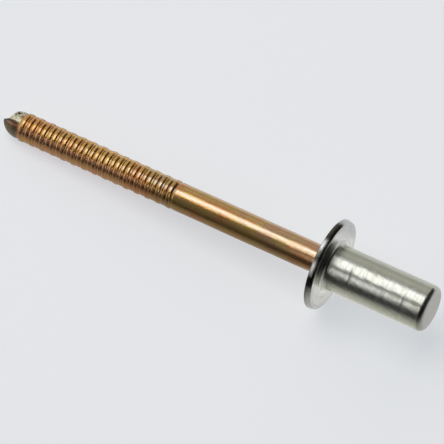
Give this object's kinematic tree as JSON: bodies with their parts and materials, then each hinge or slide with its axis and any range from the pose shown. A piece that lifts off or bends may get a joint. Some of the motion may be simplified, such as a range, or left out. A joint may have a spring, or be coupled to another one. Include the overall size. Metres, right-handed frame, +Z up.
{
  "type": "blind rivet",
  "caption": "Closed-end blind rivet before setting: a plated cup with a domed flange on a copper-flashed mandrel with grip rings and a cropped tip.",
  "frame": {"origin": "on the surface the rivet lies on, below the middle of its length", "axes": "+X level along the lying rivet, toward its closed end; +Y level across it; +Z up"},
  "size_m": [0.0327, 0.0064, 0.0064],
  "materials": {
    "plated_body": "bright plated steel with fine turning and handling marks",
    "coppered_wire": "copper-flashed steel wire, tarnished in brown and olive patches"
  },
  "bodies": {
    "root": {"rivet_body": "plated_body", "mandrel": "coppered_wire"}
  },
  "joints": []
}
